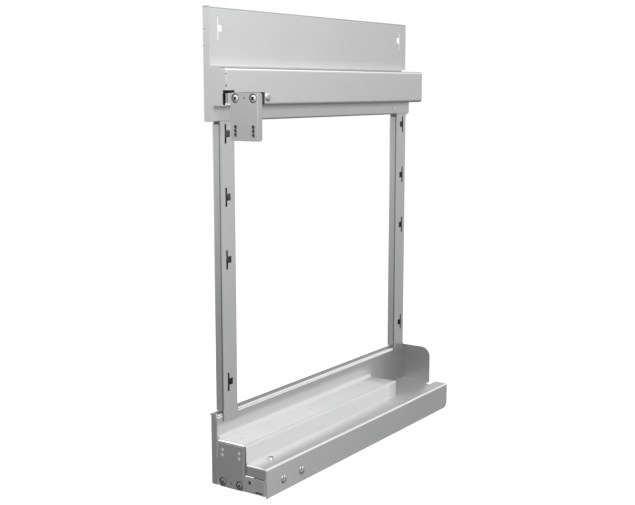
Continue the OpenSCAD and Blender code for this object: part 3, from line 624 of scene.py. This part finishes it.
def add_trim():
    for x in UPPER_HOLES_X:
        low, high = zip((x - KEEPER_HALF_WIDTH, x + KEEPER_HALF_WIDTH), KEEPER_Y, KEEPER_Z)
        add_piece(f"screw_keeper_{x:.0f}", "zinc", "painted_shade_zinc", blocks, [(low, high)])
    for name, slot, finish, *sizes in BLOCK_TRIM:
        add_piece(name, slot, finish, blocks, *sizes)
    for level, places, z, (reach, width, proud) in CLAMP_SCREWS:
        for x in places:
            # Black rings and black X's on the clamp screws: painted shade in their recesses
            add_piece(f"{level}_clamp_gasket_{x:.0f}", "black_plastic", "black_plastic",
                      collar, (x, BRACKET_FACE_Y, z), *CLAMP_PAINTED_SHADE_RING)
            add_piece(f"{level}_clamp_recess_{x:.0f}", "black_plastic", "dull_black",
                      cross, (x, BRACKET_FACE_Y - proud, z), reach, width, RECESS_DEPTH + proud)
    # Pale inserts in the lower door holes: painted light
    for x, z in DOOR_HOLES:
        add_piece(f"door_insert_{x:.0f}_{z:.0f}", "zinc", "painted_light_zinc",
                  collar, (x, BRACKET_FACE_Y, z), *DOOR_INSERT)


# Light

# Soft light on matt coats from each side of the room: direction and strength
MATT_ROOM = (
    ((1.0, 0.0, 0.15), 0.1),
    ((0.0, -1.0, 0.1), 0.05),
    ((0.0, 1.0, 0.1), 0.1),
    ((-1.0, 0.0, 0.3), 0.3),
)
MATT_FILL = 0.05
# What gloss mirrors: direction, cosine where it ends, strength above and below the horizon
GLOSS_ROOM = (
    ((0.87, 0.5, 0.0), 0.7, 0.21, 0.09),  # panel beside the posts' face
    ((0.8, 0.6, 0.0), 0.35, 0.28, 0.54),  # wide wall beyond it, brighter towards the ground
    ((0.8, 0.6, 0.0), 0.88, 0.56, 0.0),  # narrow panel on that wall
    ((0.8, -0.6, 0.0), 0.35, 0.07, 0.56),  # wide wall on the door side, lit near the ground
    ((-0.9, -0.42, 0.0), 0.7, 0.6, 0.0),  # panel behind the frame's front
    ((-0.57, -0.82, 0.0), 0.35, 0.76, 0.0),  # wide wall in front
    ((-0.85, 0.45, 0.3), 0.7, 0.05, 0.0),  # faint panel behind the frame's rear
    ((-1.0, 0.1, -0.05), 0.8, 0.8, 0.5),  # panel straight behind the frame
    ((-0.35, 0.94, 0.0), 0.35, 1.03, 0.0),  # bright wall past the rear end
    ((0.45, 0.75, 0.35), 0.8, 0.45, 0.0),  # panel high past the rear end
    ((0.38, 0.7, 0.6), 0.93, 1.15, 0.0),  # small bright panel above that
    ((0.14, 0.81, 0.55), 0.9, 0.26, 0.0),  # small panel beside it
    ((0.0, 0.0, 1.0), 0.0, 0.1, 0.0),  # ceiling
)
GLOSS_FILL = 0.125
# Heights of the gaze between which the strength below the horizon turns into the one above
HORIZON = (-0.22, 0.04)
# Soft lamps: name, place, target, size in metres and power in watts
LAMPS = (
    ("front_high", (60, -450, 760), (10, 0, 480), 0.9, 0.8),
    ("front_side", (420, -380, 560), (30, 60, 120), 0.9, 1.4),
    ("top", (200, -60, 1000), (10, 120, 300), 0.6, 5.0),
)
FLOOR_PLACE = (30, 250, -180)
FLOOR_RADIUS_M = 9
FLOOR_GLOW = 0.95


def lobe(sky, facing, direction, reach):
    """Light from around one direction, out to the cosine reach."""
    cosine = sky.vector("DOT_PRODUCT", facing, Vector(direction).normalized(), output="Value")
    return sky.spread(cosine, reach, 1.0) ** 2.0


def add_world():
    """White to the camera; soft light from every side of the room for the rest."""
    world = bpy.data.worlds.new("studio")
    world.use_nodes = True
    world.node_tree.nodes.clear()
    sky = Graph(world.node_tree)
    facing = sky.node("ShaderNodeTexCoord", {}, output="Generated")
    above = sky.spread(sky.part(facing, "Z"), *HORIZON)
    matt = MATT_FILL
    for direction, strength in MATT_ROOM:
        matt = matt + lobe(sky, facing, direction, 0.0) * strength
    gloss = GLOSS_FILL
    for direction, reach, high, low in GLOSS_ROOM:
        gloss = gloss + lobe(sky, facing, direction, reach) * (above * (high - low) + low)
    lit = matt + (gloss - matt) * sky.light_path("Is Glossy Ray")
    white = (1, 1, 1, 1)
    background = sky.node("ShaderNodeBackground", {}, white, lit + (1.0 - lit) * sky.seen_rays())
    sky.node("ShaderNodeOutputWorld", {}, background)
    bpy.context.scene.world = world


def add_floor():
    """A pale floor well below the frame, as bright as the room to the camera outside the shadow."""
    mesh = bpy.data.meshes.new("floor")
    floor = bpy.data.objects.new("floor", mesh)
    bpy.context.scene.collection.objects.link(floor)
    shape = bmesh.new()
    bmesh.ops.create_circle(shape, cap_ends=True, segments=64, radius=FLOOR_RADIUS_M)
    shape.to_mesh(mesh)
    shape.free()
    floor.location = at(*FLOOR_PLACE)
    paint = Finish("floor_paint")
    mesh.materials.append(paint.coat(
        Base_Color=grey(0.8),
        Roughness=0.9,
        Emission_Color=paint.seen_rays(),
        Emission_Strength=FLOOR_GLOW,
    ))
    floor.visible_glossy = False


def add_lamp(name, place, target, size, power):
    data = bpy.data.lights.new(name, "AREA")
    data.shape = "DISK"
    data.size = size
    data.energy = power
    lamp = bpy.data.objects.new(name, data)
    lamp.location = at(*place)
    lamp.rotation_euler = (at(*target) - at(*place)).to_track_quat("-Z", "Y").to_euler()
    bpy.context.scene.collection.objects.link(lamp)


add_camera()
dress_nodes()
add_trim()
add_world()
add_floor()
for lamp_values in LAMPS:
    add_lamp(*lamp_values)
bpy.context.scene.view_settings.view_transform = "Standard"
